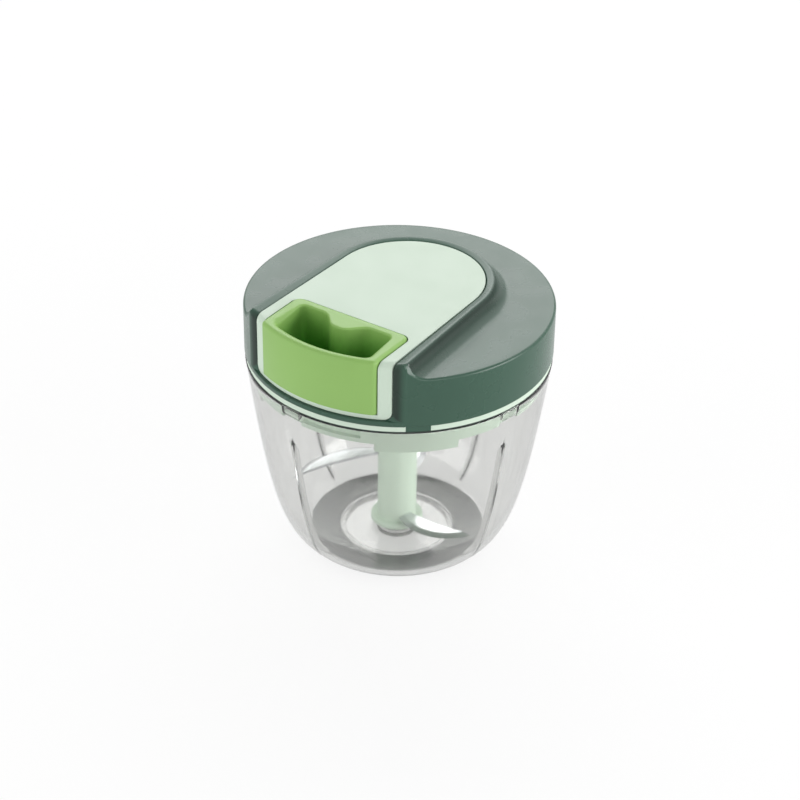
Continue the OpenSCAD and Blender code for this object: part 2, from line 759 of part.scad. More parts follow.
module cord_reel() {
    color([0.55, 0.6, 0.57]) difference() {
        union() {
            rod(reel_r, reel_z, drum_z);
            rod(drum_r, reel_z, reel_top);
            rod(reel_r, drum_z + drum_h, reel_top);
        }
        pipe(reel_hub_r, drum_r - reel_flange_t, reel_z - 1, drum_z + drum_h);
        translate([0, 0, reel_z - 1]) cylinder(h = far, r = reel_hex_r + seat_gap, $fn = 6);
    }
}
module reel_clip() {
    color([0.75, 0.76, 0.78]) difference() {
        pipe(clip_groove_r + run_gap, arbor_r + clip_w, clip_z, clip_z + clip_t);
        translate([-clip_groove_r * 0.8, 0, clip_z - 1]) cube([clip_groove_r * 1.6, far, clip_t + 2]);
    }
}

// Recoil spring and its case
module spring_plate() {
    color([0.75, 0.76, 0.78])
        pipe(arbor_r + free_gap, case_in_r - seat_gap, spring_plate_z, spring_plate_z + spring_plate_t);
}
function spiral(side) = let (
    last = 18 * spring_turns,
    first_r = arbor_r + free_gap + spring_t,
    last_r = case_in_r - free_gap - spring_t)
    [for (i = [0:last]) let (r = first_r + (last_r - first_r) * i / last + side * spring_t / 2)
        r * [cos(20 * i), sin(20 * i)]];
module recoil_spring() {
    color([0.5, 0.52, 0.56]) translate([0, 0, spring_z]) linear_extrude(spring_h) {
        polygon(concat(spiral(1), reverse(spiral(-1))));
        translate([arbor_r / 2, -spring_t / 2]) square([arbor_r / 2 + free_gap + spring_t, spring_t]);
    }
}
module spring_case() {
    color([0.83, 0.9, 0.85]) difference() {
        union() {
            rod(case_r, spring_plate_z, case_roof);
            case_screw_places() rod(post_r + 1, ear_z, ear_z + ear_t);
            rotate([0, 0, 90]) round_pattern(3) translate([0, -post_r, ear_z])
                cube([case_screw_r, 2 * post_r, ear_t]);
        }
        rod(case_in_r, spring_plate_z - 1, case_roof - case_t);
        rod(top_pin_r + run_gap, spring_plate_z, case_roof + 1);
        case_screw_places() rod(case_screw_t + seat_gap, ear_z - 1, ear_z + ear_t + 1);
    }
}
module case_screws() {
    color([0.7, 0.71, 0.73]) case_screw_places() translate([0, 0, ear_z + ear_t])
        screw(case_screw_t, 2 * case_screw_t, case_head_h, case_screw_l + ear_t);
}

// Cord: turns on the drum, the lead to the eyelet and the end in the handle
function around(angle, z) = [wind_r * cos(angle), wind_r * sin(angle), z];
function along(angle) = [sin(angle), -cos(angle), 0];
wind_steps = ceil(wind_turns * ring_steps);
winding = [for (i = [0:wind_steps]) let (s = wind_turns * i / wind_steps)
    around(lead_turn + 360 * (wind_turns - s), drum_z + wind_margin + wind_pitch * s)];
winding_path = concat([winding[0] - cord_d * along(lead_turn + 360 * wind_turns)], winding,
    [winding[wind_steps] + cord_d * along(lead_turn)]);
function least_gap(list, apart) = min([for (i = [0:len(list) - 1 - apart], j = [i + apart:len(list) - 1])
    norm(list[i] - list[j])]) - cord_d;
echo(winding_gap = least_gap(winding_path, ring_steps / 2));
module cord_winding() {
    color([0.93, 0.93, 0.91]) tube(winding_path, cord_d / 2, cord_sides);
}
module cord_lead() {
    color([0.93, 0.93, 0.91]) tube([winding_path[wind_steps + 2], [0, bend_y, cord_z], [0, split_y, cord_z]],
        cord_d / 2, cord_sides);
}
module cord_end() {
    color([0.93, 0.93, 0.91]) tube([[0, split_y, cord_z], [0, nipple_y, cord_z]], cord_d / 2, cord_sides);
}
module cord_nipple() {
    color([0.72, 0.72, 0.74]) difference() {
        translate([0, nipple_y, 0]) rod(nipple_r, cord_z - nipple_h / 2, cord_z + nipple_h / 2);
        translate([0, nipple_y, cord_z]) rotate([-90, 0, 0]) cylinder(h = far, r = cord_d / 2 + run_gap);
    }
}

// Handle
function front_arc(r, half, corner_r) = let (a = asin(half / r), y = -r * cos(a)) concat(
    [[-half, y, corner_r]],
    [for (i = [-5:5]) [r * sin(a * i / 6), -r * cos(a * i / 6), 0]],
    [[half, y, corner_r]]);
module handle_plan() {
    half = handle_w / 2;
    polygon(rounded(concat(front_arc(handle_r + seat_gap, half, front_corner),
        [[half, handle_y, handle_corner], [-half, handle_y, handle_corner]])));
}
module well_plan() {
    half = handle_w / 2 - well_side;
    rear = handle_y - well_rear;
    tip = lobe_w / 3;
    lobe = [[lobe_w, rear], [tip, rear - lobe_l], [-tip, rear - lobe_l], [-lobe_w, rear]];
    polygon(rounded(concat(front_arc(handle_r - well_front, half, well_corner), [[half, rear, well_corner]],
        [for (p = lobe) [p.x, p.y, lobe_round]], [[-half, rear, well_corner]])));
}
module pull_handle() {
    color([0.48, 0.68, 0.34]) difference() {
        intersection() {
            disc(handle_r, handle_z, handle_top, handle_edge);
            translate([0, 0, handle_z]) linear_extrude(far) handle_plan();
        }
        translate([0, 0, handle_z + well_floor]) linear_extrude(far) well_plan();
        translate([0, nipple_y, 0]) rod(nipple_r + seat_gap, handle_z - 1, cord_z + nipple_h / 2 + seat_gap);
        translate([-cord_d / 2 - slide_gap, nipple_y, handle_z - 1])
            cube([cord_d + 2 * slide_gap, far, cord_z + cord_d / 2 + slide_gap - handle_z + 1]);
    }
}
module handle_plug() {
    color([0.48, 0.68, 0.34]) translate([0, nipple_y, 0])
        rod(nipple_r, handle_z + slide_gap, cord_z - nipple_h / 2 - seat_gap);
}

bowl();
foot_ring();
pivot_pin();
blade_stem();
lower_blade();
middle_blade();
upper_blade();
lid_seal();
lid_base();
lid_cover();
top_panel();
lid_screws();
spindle_bush();
drive_spindle();
thrust_washer();
cord_reel();
cord_winding();
reel_clip();
spring_plate();
recoil_spring();
spring_case();
case_screws();
cord_eyelet();
cord_lead();
cord_end();
cord_nipple();
handle_plug();
pull_handle();
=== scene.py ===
import json
from math import acos, asin, atan2, cos, degrees, pi, radians, sin, sqrt, tan

import bmesh
import bpy
from mathutils import Matrix, Vector


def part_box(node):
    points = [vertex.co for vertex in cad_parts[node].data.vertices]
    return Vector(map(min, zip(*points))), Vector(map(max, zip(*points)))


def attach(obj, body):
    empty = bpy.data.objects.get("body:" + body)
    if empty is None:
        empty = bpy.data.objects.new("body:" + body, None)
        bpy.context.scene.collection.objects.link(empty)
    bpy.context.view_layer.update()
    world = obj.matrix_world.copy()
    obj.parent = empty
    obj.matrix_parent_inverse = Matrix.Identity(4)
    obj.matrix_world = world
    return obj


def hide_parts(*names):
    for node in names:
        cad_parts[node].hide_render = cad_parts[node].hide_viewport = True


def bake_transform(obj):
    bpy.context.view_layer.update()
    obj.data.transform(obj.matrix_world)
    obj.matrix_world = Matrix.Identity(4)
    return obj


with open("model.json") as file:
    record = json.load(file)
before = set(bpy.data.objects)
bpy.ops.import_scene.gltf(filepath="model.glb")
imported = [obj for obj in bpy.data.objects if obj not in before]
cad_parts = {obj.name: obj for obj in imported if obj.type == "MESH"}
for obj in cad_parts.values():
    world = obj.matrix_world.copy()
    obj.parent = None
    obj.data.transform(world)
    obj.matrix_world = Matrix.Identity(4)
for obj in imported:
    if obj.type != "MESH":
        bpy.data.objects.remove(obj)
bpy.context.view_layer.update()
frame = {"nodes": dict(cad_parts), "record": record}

MM = 0.001
bodies = frame["record"]["behaviour"]["bodies"]
body_of = {node: body for body, nodes in bodies.items() for node in nodes}
slot_of = {row["node"]: row["material_slot"] for row in frame["record"]["subparts"]}


def size(node):
    """Lowest and highest corner of a CAD node, in millimetres."""
    low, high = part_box(node)
    return Vector(low) / MM, Vector(high) / MM


# Camera

AIM = Vector((0, 0, 65.86)) * MM
AZIMUTH, ELEVATION, ROLL = radians(33.79), radians(32.67), radians(0.78)
DISTANCE = 0.8968
FOCAL_LENGTH, SENSOR_WIDTH, SHIFT_X = 97.92, 36, 0.00206
back = Vector((sin(AZIMUTH) * cos(ELEVATION), -cos(AZIMUTH) * cos(ELEVATION), sin(ELEVATION)))
right = Vector((cos(AZIMUTH), sin(AZIMUTH), 0))
up = back.cross(right)
lens = bpy.data.cameras.new("camera")
lens.lens = FOCAL_LENGTH
lens.sensor_width = SENSOR_WIDTH
lens.shift_x = SHIFT_X
camera = bpy.data.objects.new("camera", lens)
bpy.context.collection.objects.link(camera)
turned = Matrix((
    right * cos(ROLL) + up * sin(ROLL),
    up * cos(ROLL) - right * sin(ROLL),
    back,
)).transposed()
camera.matrix_world = Matrix.Translation(AIM + DISTANCE * back) @ turned.to_4x4()
bpy.context.scene.camera = camera
bpy.context.scene.view_settings.view_transform = "Standard"


# Materials

NOISE_LOW, NOISE_HIGH = 0.3, 0.7


class Shader:
    """A material's node tree, with short calls for the nodes used here."""

    def __init__(self, name):
        self.material = bpy.data.materials.new(name)
        self.material.use_nodes = True
        self.tree = self.material.node_tree
        self.principled = self.tree.nodes["Principled BSDF"]
        self.output = self.tree.nodes["Material Output"]

    def node(self, kind, **values):
        made = self.tree.nodes.new("ShaderNode" + kind)
        for key, value in values.items():
            if hasattr(made, key):
                setattr(made, key, value)
            else:
                made.inputs[key.replace("_", " ")].default_value = value
        return made

    def link(self, source, target):
        self.tree.links.new(source, target)

    def set(self, **values):
        for key, value in values.items():
            self.principled.inputs[key.replace("_", " ")].default_value = value

    def noise(self, scale, detail, stretch=(1, 1, 1)):
        """Noise that stays with the object; a small stretch draws it out along an axis."""
        made = self.node("TexNoise", Scale=scale, Detail=detail)
        mapping = self.node("Mapping", Scale=stretch)
        self.link(self.node("TexCoord").outputs["Object"], mapping.inputs["Vector"])
        self.link(mapping.outputs["Vector"], made.inputs["Vector"])
        return made.outputs["Fac"]

    def tint(self, value, dark, light):
        """The base colour from dark to light over a noise's usual range."""
        made = self.node("ValToRGB")
        ramp = made.color_ramp.elements
        ramp[0].position, ramp[1].position = NOISE_LOW, NOISE_HIGH
        ramp[0].color, ramp[1].color = (*dark, 1), (*light, 1)
        self.link(value, made.inputs["Fac"])
        self.link(made.outputs["Color"], self.principled.inputs["Base Color"])

    def rough(self, value, low, high):
        """The roughness from low to high over a noise's usual range."""
        made = self.node("MapRange", From_Min=NOISE_LOW, From_Max=NOISE_HIGH,
                         To_Min=low, To_Max=high)
        self.link(value, made.inputs["Value"])
        self.link(made.outputs["Result"], self.principled.inputs["Roughness"])

    def paint_shade(self, layer, share, richer, turn):
        """Painted shade: where a vertex layer is 1, the colour darker by a share, richer and turned
        in hue.
        """
        socket = self.principled.inputs["Base Color"]
        made = self.node("HueSaturation")
        where = self.node("Attribute", attribute_name=layer).outputs["Fac"]
        changes = (("Value", 1.0, -share), ("Saturation", 1.0, richer), ("Hue", 0.5, turn))
        # Each change of the painted shade grows with the layer's value
        for name, plain, change in changes:
            depth = self.node("MapRange", To_Min=plain, To_Max=plain + change)
            self.link(where, depth.inputs["Value"])
            self.link(depth.outputs["Result"], made.inputs[name])
        self.link(socket.links[0].from_socket, made.inputs["Color"])
        self.link(made.outputs["Color"], socket)

    def bump(self, value, height, strength):
        made = self.node("Bump", Strength=strength, Distance=height)
        self.link(value, made.inputs["Height"])
        self.link(made.outputs["Normal"], self.principled.inputs["Normal"])


def linear(*srgb):
    """An sRGB colour of 0 to 255 as the linear colour that a shader takes."""
    return tuple(c / 3294.6 if c <= 10 else ((c / 255 + 0.055) / 1.055) ** 2.4 for c in srgb)


def shade(colour, factor):
    return tuple(c * factor for c in colour)


# Vertex layer of painted shade: it darkens the colour in the cover's cheeks and hollow and in the
# handle's well
PAINTED_SHADE = "painted_shade"
FLOW_MARKS, GLOSS_MARKS, FACE_WAVES = (38, 2), (90, 3), (160, 2)


def plastic(name, colour, rough, vary=0.02, specular=0.5, painted_shade=0.0, richer=0.0, turn=0.0):
    """Moulded plastic: faint flow marks in its colour and gloss, and painted shade where its vertex
    layer is set.
    """
    s = Shader(name)
    s.tint(s.noise(*FLOW_MARKS), shade(colour, 1 - vary), shade(colour, 1 + vary))
    if painted_shade:
        s.paint_shade(PAINTED_SHADE, painted_shade, richer, turn)
    s.rough(s.noise(*GLOSS_MARKS), rough * 0.9, rough * 1.12)
    s.bump(s.noise(*FACE_WAVES), 0.01 * MM, 0.1)
    s.set(IOR=1.5, Specular_IOR_Level=specular)
    return s.material


def rubber(name, colour):
    """Soft moulded rubber with a fine grain."""
    s = Shader(name)
    s.tint(s.noise(60, 3), shade(colour, 0.9), shade(colour, 1.12))
    s.rough(s.noise(400, 3), 0.5, 0.72)
    s.bump(s.noise(3200, 2), 0.02 * MM, 0.5)
    s.set(Specular_IOR_Level=0.4)
    return s.material


def steel(name, colour, rough, stretch):
    """Metal with fine lines along the axis whose stretch is small."""
    s = Shader(name)
    lines = s.noise(900, 4, stretch)
    s.tint(lines, shade(colour, 0.9), shade(colour, 1.06))
    s.rough(lines, rough * 0.8, rough * 1.35)
    s.bump(lines, 0.004 * MM, 0.3)
    s.set(Metallic=1.0)
    return s.material


CLEAR = (0.985, 0.985, 0.98, 1)
SMOKE = (0.90, 0.905, 0.895, 1)
SMOKE_DEPTH, SMOKE_DENSITY = (0.42, 0.43, 0.41, 1), 130


def clear_plastic(name):
    """Clear moulded plastic, smoky in its depth, that lets the lamps' light through."""
    s = Shader(name)
    s.set(Base_Color=CLEAR, IOR=1.49, Transmission_Weight=1.0)
    s.rough(s.noise(120, 3), 0.035, 0.075)
    s.bump(s.noise(75, 2), 0.02 * MM, 0.25)
    depth = s.node("VolumeAbsorption", Color=SMOKE_DEPTH, Density=SMOKE_DENSITY)
    s.link(depth.outputs["Volume"], s.output.inputs["Volume"])
    path = s.node("LightPath")
    through = s.node("BsdfTransparent", Color=SMOKE)
    mix = s.node("MixShader")
    s.link(path.outputs["Is Shadow Ray"], mix.inputs["Fac"])
    s.link(s.principled.outputs["BSDF"], mix.inputs[1])
    s.link(through.outputs["BSDF"], mix.inputs[2])
    s.link(mix.outputs["Shader"], s.output.inputs["Surface"])
    return s.material


STRANDS = 8
CORD_TWIST = 6.0


def braid(name, colour):
    """Braided cord: two families of strands that cross, in the piece's UV map."""
    s = Shader(name)
    waves = []
    for turn in (-1, 1):
        mapping = s.node("Mapping", Rotation=(0, 0, turn * radians(45)))
        s.link(s.node("UVMap").outputs["UV"], mapping.inputs["Vector"])
        wave = s.node("TexWave", Scale=STRANDS / CORD_TWIST, Distortion=0.4)
        s.link(mapping.outputs["Vector"], wave.inputs["Vector"])
        waves.append(wave.outputs["Fac"])
    higher = s.node("Math", operation="MAXIMUM")
    for k, wave in enumerate(waves):
        s.link(wave, higher.inputs[k])
    s.tint(higher.outputs["Value"], shade(colour, 0.62), colour)
    s.bump(higher.outputs["Value"], 0.12 * MM, 0.8)
    s.set(Roughness=0.75, Specular_IOR_Level=0.25, Sheen_Weight=0.25)
    return s.material


FIR = linear(51, 82, 67)
MINT = linear(198, 214, 198)
GRASS = linear(138, 178, 98)
materials = {
    "smoke_clear": clear_plastic("smoke_clear"),
    # fir_green and grass_green take painted shade from the vertex layer
    "fir_green": plastic("fir_green", FIR, 0.28, vary=0.025, specular=0.37, painted_shade=0.7),
    "mint": plastic("mint", MINT, 0.48, vary=0.01, specular=0.3),
    "grass_green": plastic("grass_green", GRASS, 0.36, specular=0.3, painted_shade=0.4,
                           richer=0.25, turn=0.045),
    "foot_rubber": rubber("foot_rubber", linear(72, 77, 75)),
    "seal_rubber": rubber("seal_rubber", linear(48, 60, 54)),
    "blade_steel": steel("blade_steel", linear(205, 207, 209), 0.2, (1, 0.06, 1)),
    "plain_steel": steel("plain_steel", linear(188, 190, 193), 0.26, (1, 1, 0.08)),
    "spring_steel": steel("spring_steel", linear(112, 118, 128), 0.3, (1, 1, 0.08)),
    "acetal": plastic("acetal", linear(232, 232, 224), 0.4, vary=0.015),
    "reel_plastic": plastic("reel_plastic", linear(140, 153, 146), 0.45),
    "cord": braid("cord", linear(230, 230, 224)),
}
for node, item in frame["nodes"].items():
    item.data.materials.clear()
    item.data.materials.append(materials[slot_of[node]])


# Making pieces

SHARP, COVER_SHARP, ROUND_SHARP = radians(32), radians(38), radians(40)
BEVEL_FROM, BEVEL_STEPS = radians(40), 3


def finish_mesh(item, sharp):
    """Smooth shading, with the edges above an angle kept sharp."""
    item.data.shade_smooth()
    item.data.set_sharp_from_angle(angle=sharp)


def settle(item, node):
    """The piece stands for a CAD node: its body, slot and material are the node's."""
    item.data.materials.clear()
    item.data.materials.append(materials[slot_of[node]])
    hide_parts(node)
    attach(item, body_of[node])


def bare(name, bm):
    """An object from a bmesh in millimetres."""
    bmesh.ops.remove_doubles(bm, verts=bm.verts, dist=1e-5)
    bmesh.ops.recalc_face_normals(bm, faces=bm.faces)
    bmesh.ops.scale(bm, verts=bm.verts, vec=(MM, MM, MM))
    mesh = bpy.data.meshes.new(name)
    bm.to_mesh(mesh)
    bm.free()
    item = bpy.data.objects.new(name, mesh)
    bpy.context.collection.objects.link(item)
    return item


def cut(item, bm):
    """Takes a closed bmesh out of an object."""
    tool = bare("tool", bm)
    step = item.modifiers.new("cut", "BOOLEAN")
    step.operation, step.solver, step.object = "DIFFERENCE", "EXACT", tool
    graph = bpy.context.evaluated_depsgraph_get()
    item.data = bpy.data.meshes.new_from_object(item.evaluated_get(graph))
    item.modifiers.clear()
    bpy.data.objects.remove(tool)


def piece(name, bm, node, sharp=SHARP, cuts=()):
    """An object that stands for a CAD node, with holes cut in it."""
    item = bare(name, bm)
    for hole in cuts:
        cut(item, hole)
    finish_mesh(item, sharp)
    settle(item, node)
    return item


def rounded_copy(node, edge):
    """A CAD node's solid with its edges rounded."""
    bm = bmesh.new()
    bm.from_mesh(frame["nodes"][node].data)
    bmesh.ops.remove_doubles(bm, verts=bm.verts, dist=1e-6)
    bmesh.ops.dissolve_limit(bm, angle_limit=radians(0.4), verts=bm.verts, edges=bm.edges)
    bmesh.ops.scale(bm, verts=bm.verts, vec=(1 / MM, 1 / MM, 1 / MM))
    item = piece(node + "_moulded", bm, node)
    bevel = item.modifiers.new("edges", "BEVEL")
    bevel.width = edge * MM
    bevel.segments = BEVEL_STEPS
    bevel.limit_method = "ANGLE"
    bevel.angle_limit = BEVEL_FROM
    bevel.harden_normals = True


def loft(bm, rings, close_loft=False):
    """Quads between closed rings of points, each ring with as many points as the next."""
    rows = [[bm.verts.new(p) for p in ring] for ring in rings]
    pairs = list(zip(rows, rows[1:]))
    if close_loft:
        pairs.append((rows[-1], rows[0]))
    count = len(rows[0])
    for a, b in pairs:
        for k in range(count):
            m = (k + 1) % count
            bm.faces.new((a[k], a[m], b[m], b[k]))
    return rows


def close_ends(bm, rows):
    """Flat faces on a loft's first and last ring."""
    bm.faces.new(list(reversed(rows[0])))
    bm.faces.new(rows[-1])


def arc(centre, radius, start, end, steps):
    """Points of an arc in a plane, angles in degrees."""
    angles = [radians(start + (end - start) * i / steps) for i in range(steps + 1)]
    return [(centre[0] + radius * cos(a), centre[1] + radius * sin(a)) for a in angles]


def lathe(bm, section, sides):
    """A closed section [(r, z), ...] turned about the axis."""
    turn = [2 * pi * k / sides for k in range(sides)]
    loft(bm, [[(r * cos(a), r * sin(a), z) for r, z in section] for a in turn], close_loft=True)


# Bowl

bowl_high = size("bowl")[1]
BOWL_WALL = 2.2
BOWL_FLOOR = size("foot_ring")[1].z
bowl_floor_top = BOWL_FLOOR + BOWL_WALL
FOOT_R, BELLY_ANGLE, BELLY_PULL = 32, radians(34.7), 17.7
WALL_ANGLE, WALL_PULL = radians(83), 85.7
curve_ends = Vector((FOOT_R, 0)), Vector((bowl_high.x, bowl_high.z))
curve_p = (
    curve_ends[0],
    curve_ends[0] + BELLY_PULL * Vector((cos(BELLY_ANGLE), sin(BELLY_ANGLE))),
    curve_ends[1] - WALL_PULL * Vector((cos(WALL_ANGLE), sin(WALL_ANGLE))),
    curve_ends[1],
)


def bowl_curve(t, depth):
    """Point of the bowl's outside at t, moved inwards by depth."""
    p0, p1, p2, p3 = curve_p
    s = 1 - t
    place = s ** 3 * p0 + 3 * s * s * t * p1 + 3 * s * t * t * p2 + t ** 3 * p3
    way = (s * s * (p1 - p0) + 2 * s * t * (p2 - p1) + t * t * (p3 - p2)).normalized()
    return place + depth * Vector((-way.y, way.x))


def bowl_at(z, depth):
    """Where along the curve the height is z."""
    low, high = 0.0, 1.0
    for _ in range(40):
        middle = (low + high) / 2
        if bowl_curve(middle, depth).y < z:
            low = middle
        else:
            high = middle
    return low


RIB_TURN, RIB_D, RIB_TOP, RIB_FADE, RIBS = -101, 2.2, 73.5, 6.0, 4
RIB_HALF = (0.5, 0.78, 1.0)
LUG_TURN, LUG_SPAN, LUG_H, LUG_D, LUG_GAP = -10, 8.6, 3.2, 1.2, 0.5
LUG_Z, LUG_EDGE = 85.7, 0.25
RIM_ROUND, RIM_DRAFT = 0.7, 5
PIN_PLAY = 0.05
PIN_R = size("pivot_pin")[1].x + PIN_PLAY
pin_seat = size("pivot_pin")[0].z - PIN_PLAY
BOSS_R, BOSS_TOP, BOSS_LOW, BOSS_EDGE = 8, 8.3, 2.0, 0.5
BOSS_FOOT = ((0.8, 0), (0.2, 0.2), (0, 0.8))
SPIGOT_R, SPIGOT_W, SPIGOT_LOW = 24, 2, 1.0
CENTRE_R = 0.4
BOWL_SIDES, SIDE_GAP = 160, 0.35
OUTSIDE_STEPS, INSIDE_STEPS, RIM_STEPS, BOSS_STEPS, FADE_STEPS = 70, 40, 5, 4, 5
RIM_ROW, FLOOR_ROW = 1.0, 0.05
PLAIN_TOP, PLAIN_STEP, PLAIN_ROWS = 83, 3.1, 3


def ease(value, low, high):
    """0 at low and 1 at high, smooth between them."""
    t = min(max((value - low) / (high - low), 0), 1)
    return t * t * (3 - 2 * t)


def off(angle, centre, count):
    """Angle from the nearest of count places round the axis."""
    step = 360 / count
    return (angle - centre + step / 2) % step - step / 2


def rib_depth(angle, z):
    """How far a rib stands in from the wall."""
    across = 1 - ease(abs(off(angle, RIB_TURN, RIBS)), RIB_HALF[0], RIB_HALF[2])
    along = ease(z, bowl_floor_top, bowl_floor_top + 2 * RIB_D)
    along *= 1 - ease(z, RIB_TOP - RIB_FADE, RIB_TOP)
    return RIB_D * across * along


def lug_depth(angle, z):
    """How far a bayonet lug stands in from the wall."""
    side = LUG_SPAN / 2
    top = LUG_Z + LUG_H
    across = 1 - ease(abs(off(angle, LUG_TURN, RIBS)), side - LUG_EDGE, side)
    along = ease(z, LUG_Z, LUG_Z + LUG_EDGE) * (1 - ease(z, top - LUG_EDGE, top))
    return (LUG_D + LUG_GAP) * across * along


def bowl_angles():
    """Angles of the bowl's sections: even, and at the edges of the ribs and lugs."""
    base = [360 * k / BOWL_SIDES for k in range(BOWL_SIDES)]
    special = []
    for k in range(RIBS):
        rib = RIB_TURN + 360 * k / RIBS
        special += [rib] + [rib + side * h for side in (-1, 1) for h in RIB_HALF]
        lug = LUG_TURN + 360 * k / RIBS
        special += [lug + side * (LUG_SPAN / 2 - e) for side in (-1, 1) for e in (0, LUG_EDGE)]
    special = [a % 360 for a in special]
    kept = [a for a in base if min(abs((a - s + 180) % 360 - 180) for s in special) > SIDE_GAP]
    return sorted(kept + special)


def bowl_section(angle):
    """Closed section of the bowl: underside, outside, rim, inside, boss and pin hole."""
    low = bowl_at(BOWL_FLOOR, 0)
    outside = [bowl_curve(low + (1 - low) * i / OUTSIDE_STEPS, 0) for i in range(OUTSIDE_STEPS + 1)]
    rim_z = bowl_high.z - RIM_ROUND
    outside = [tuple(p) for p in outside if p.y < rim_z]
    rim_in = bowl_curve(1, BOWL_WALL).x
    rim = arc((bowl_high.x - RIM_ROUND, rim_z), RIM_ROUND, RIM_DRAFT, 90, RIM_STEPS)
    rim += arc((rim_in + RIM_ROUND, rim_z), RIM_ROUND, 90, 180 - RIM_DRAFT, RIM_STEPS)
    lug_top = LUG_Z + LUG_H
    heights = [bowl_high.z - RIM_ROW, lug_top, lug_top - LUG_EDGE, LUG_Z + LUG_EDGE, LUG_Z]
    heights += [PLAIN_TOP - PLAIN_STEP * i for i in range(PLAIN_ROWS)]
    heights += [RIB_TOP - RIB_FADE * i / FADE_STEPS for i in range(FADE_STEPS + 1)]
    first = bowl_at(RIB_TOP - RIB_FADE, BOWL_WALL)
    last = bowl_at(bowl_floor_top + FLOOR_ROW, BOWL_WALL)
    places = [bowl_at(z, BOWL_WALL) for z in heights]
    places += [first + (last - first) * i / INSIDE_STEPS for i in range(1, INSIDE_STEPS + 1)]
    inside = []
    for t in places:
        z = bowl_curve(t, BOWL_WALL).y
        p = bowl_curve(t, BOWL_WALL + rib_depth(angle, z))
        inside.append((p.x - lug_depth(angle, z), p.y))
    floor = [(BOSS_R + r, bowl_floor_top + z) for r, z in BOSS_FOOT]
    boss = arc((BOSS_R - BOSS_EDGE, BOSS_TOP - BOSS_EDGE), BOSS_EDGE, 0, 90, BOSS_STEPS)
    boss += [(PIN_R, BOSS_TOP), (PIN_R, pin_seat), (CENTRE_R, pin_seat)]
    spigot_in = SPIGOT_R - SPIGOT_W
    under = [(CENTRE_R, BOSS_LOW), (BOSS_R, BOSS_LOW), (BOSS_R, BOWL_FLOOR)]
    under += [(spigot_in, BOWL_FLOOR), (spigot_in, SPIGOT_LOW)]
    under += [(SPIGOT_R, SPIGOT_LOW), (SPIGOT_R, BOWL_FLOOR)]
    return under + outside + rim + inside + floor + boss


bm = bmesh.new()
rings = []
for angle in bowl_angles():
    a = radians(angle)
    rings.append([(r * cos(a), r * sin(a), z) for r, z in bowl_section(angle)])
loft(bm, rings, close_loft=True)
piece("beaker", bm, "bowl", ROUND_SHARP)


# Foot ring and seal

RING_SIDES, RING_STEPS = 180, 4


def soft_ring(name, node, inner, outer_points, low, high, edge):
    """A moulded ring with rounded edges; outer_points run up its outside."""
    bm = bmesh.new()
    section = arc((inner + edge, low + edge), edge, 180, 270, RING_STEPS)
    section += outer_points
    section += arc((inner + edge, high - edge), edge, 90, 180, RING_STEPS)
    lathe(bm, section, RING_SIDES)
    piece(name, bm, node)


FOOT_EDGE, FOOT_TURN, FOOT_INSET, FOOT_TOP_INSET = 0.6, -35, 0.2, 0.05
FOOT_ROWS = (0.6, 1.2, 1.8, 2.4, 3.0)
FOOT_PLAY, SPIGOT_PLAY = 0.02, 0.01
foot_top = BOWL_FLOOR - FOOT_PLAY
foot_centre = (bowl_curve(0, 0).x - FOOT_INSET, FOOT_EDGE)
foot_out = arc(foot_centre, FOOT_EDGE, -90, FOOT_TURN, RING_STEPS)
foot_out += [tuple(bowl_curve(bowl_at(z, 0), 0)) for z in FOOT_ROWS]
foot_out.append((bowl_curve(bowl_at(foot_top, 0), 0).x - FOOT_TOP_INSET, foot_top))
soft_ring("foot_band", "foot_ring", SPIGOT_R + SPIGOT_PLAY, foot_out, 0, foot_top, FOOT_EDGE)

seal_low, seal_high = size("lid_seal")
SEAL_IN, SEAL_EDGE, SEAL_PLAY = 59.98, 0.2, 0.02
seal_top = seal_high.z - SEAL_PLAY
seal_x = seal_high.x - SEAL_EDGE
seal_out = arc((seal_x, seal_low.z + SEAL_EDGE), SEAL_EDGE, -90, 0, RING_STEPS)
seal_out += arc((seal_x, seal_top - SEAL_EDGE), SEAL_EDGE, 0, 90, RING_STEPS)
soft_ring("rim_seal", "lid_seal", SEAL_IN, seal_out, seal_low.z, seal_top, SEAL_EDGE)


# Cover: one loft whose section runs from the opening over the ridge and the hollow to the wall

cover_low, cover_high = size("lid_cover")
COVER_R, RIDGE_Z = cover_high.x, cover_high.z
COVER_Z, COVER_TOP, COVER_T, COVER_EDGE = 93.5, 114.5, 2.0, 1.3
OPENING, FRONT_OPEN, ROUND_Y = 31.17, 32.3, 6.3
RIDGE_HALF, FLARE, PANEL_FLARE = 34.57, radians(2.4), radians(1.1)
RIDGE_ROUND, RIDGE_DRAFT, RIDGE_OUT, RIDGE_FRONT = 0.9, 8, 0.05, 2.6
LIP_ROUND = 0.35
LIP_PROFILE = ((0, LIP_ROUND), (0.12, 0.1), (LIP_ROUND, 0))
CREST_SLOPE, CREST_ROUND = 0.3, 0.6
COVE_R, COVE_SINK, COVE_START, COVE_RUN = 7.336, 0.1, 0.2, (0.9, 3.5)
PANEL_R, SILL_Z, SILL_CORNER = 61.2, 95.6, 3.2
CHEEK_R, CHEEK_SHADE = 8.0, (0.3, 0.95)
WALL_FOOT, EDGE_MOST = 0.35, 0.25
SIDE_SPACING, WALL_SPACING, FRONT_SHARE = 1.25, 0.9, 0.12
SILL_BEND, SILL_MEET, SILL_EDGE = 0.8, 0.9, 0.1
ROUND_STEPS, COVE_STEPS, TOP_STEPS, FLAT_STEPS, EDGE_STEPS = 7, 12, 6, 5, 6
SIDE_STEPS, BACK_STEPS, FRONT_END_STEPS, SILL_STEPS, KEY_STEPS = 44, 48, 7, 30, 6
cove = Vector((RIDGE_HALF + COVE_R, COVER_TOP + COVE_R - COVE_SINK))


